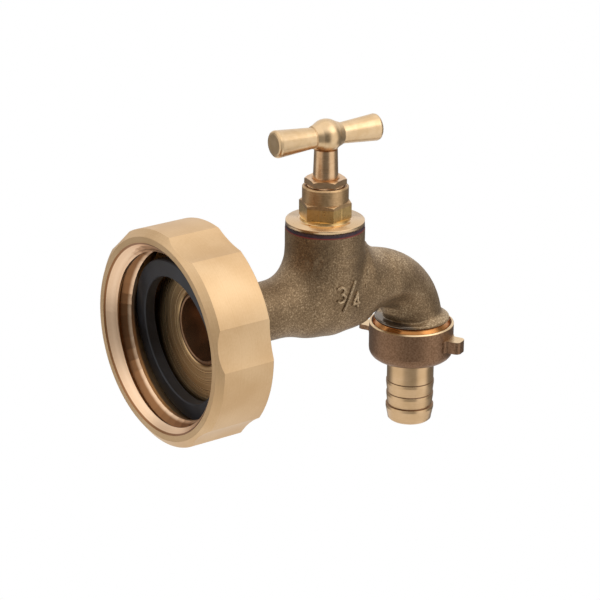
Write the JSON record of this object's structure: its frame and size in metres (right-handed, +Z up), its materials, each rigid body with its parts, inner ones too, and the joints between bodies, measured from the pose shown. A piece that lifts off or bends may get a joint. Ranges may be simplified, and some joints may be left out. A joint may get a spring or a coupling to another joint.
{
  "type": "ibc tap adapter",
  "caption": "Brass bib tap with tee handle, wide swivel nut with coarse buttress thread and flat seal for a bulk container outlet, lugged union nut and barbed hose tail.",
  "frame": {"origin": "on the axis of the swivel nut, halfway along the crests of its container thread", "axes": "+X along the barrel from the nut to the spout, +Z up along the spindle, -X out of the nut's mouth"},
  "size_m": [0.1169, 0.07, 0.1122],
  "materials": {
    "machined_brass": "satin machined brass",
    "turned_brass": "turned brass with fine tool marks",
    "cast_brass": "raw grainy sand-cast brass",
    "polished_brass": "bright turned brass",
    "union_brass": "brown cast brass with a bright turned rim",
    "tail_brass": "bright turned brass",
    "black_rubber": "smooth black rubber",
    "fibre": "dark red sealing fibre",
    "packing": "pale braided packing"
  },
  "bodies": {
    "tap": {"tap_body": "cast_brass", "flanged_bush": "turned_brass", "gasket": "black_rubber", "bonnet_washer": "fibre", "bonnet": "polished_brass", "gland_packing": "packing", "gland_nut": "polished_brass"},
    "nut": {"swivel_nut": "machined_brass"},
    "valve": {"jumper": "turned_brass", "tap_washer": "black_rubber", "washer_nut": "turned_brass"},
    "handle": {"spindle": "polished_brass", "tee_handle": "polished_brass"},
    "tail": {"hose_tail": "tail_brass", "tail_washer": "black_rubber"},
    "union": {"union_nut": "union_brass"}
  },
  "joints": [
    {"name": "nut_swivel", "type": "hinge", "parent": "tap", "child": "nut", "pos_m": [0, 0, 0], "axis": [1, 0, 0], "continuous": true},
    {"name": "valve_lift", "type": "slide", "parent": "tap", "child": "valve", "axis": [0, 0, 1], "range_m": [0, 0.00625]},
    {"name": "handle_turn", "type": "hinge", "parent": "valve", "child": "handle", "pos_m": [0.05898, 0, 0.055], "axis": [0, 0, 1], "range_deg": [0, 900]},
    {"name": "tail_drop", "type": "slide", "parent": "tap", "child": "tail", "axis": [0, 0, -1], "range_m": [0, 0.00454]},
    {"name": "union_turn", "type": "hinge", "parent": "tail", "child": "union", "pos_m": [0.09613, 0, -0.022], "axis": [0, 0, -1], "range_deg": [0, 900]}
  ],
  "couplings": [
    {"joint": "valve_lift", "follows": "handle_turn", "m_per_rad": 0.00039789},
    {"joint": "tail_drop", "follows": "union_turn", "m_per_rad": 0.00028871}
  ]
}
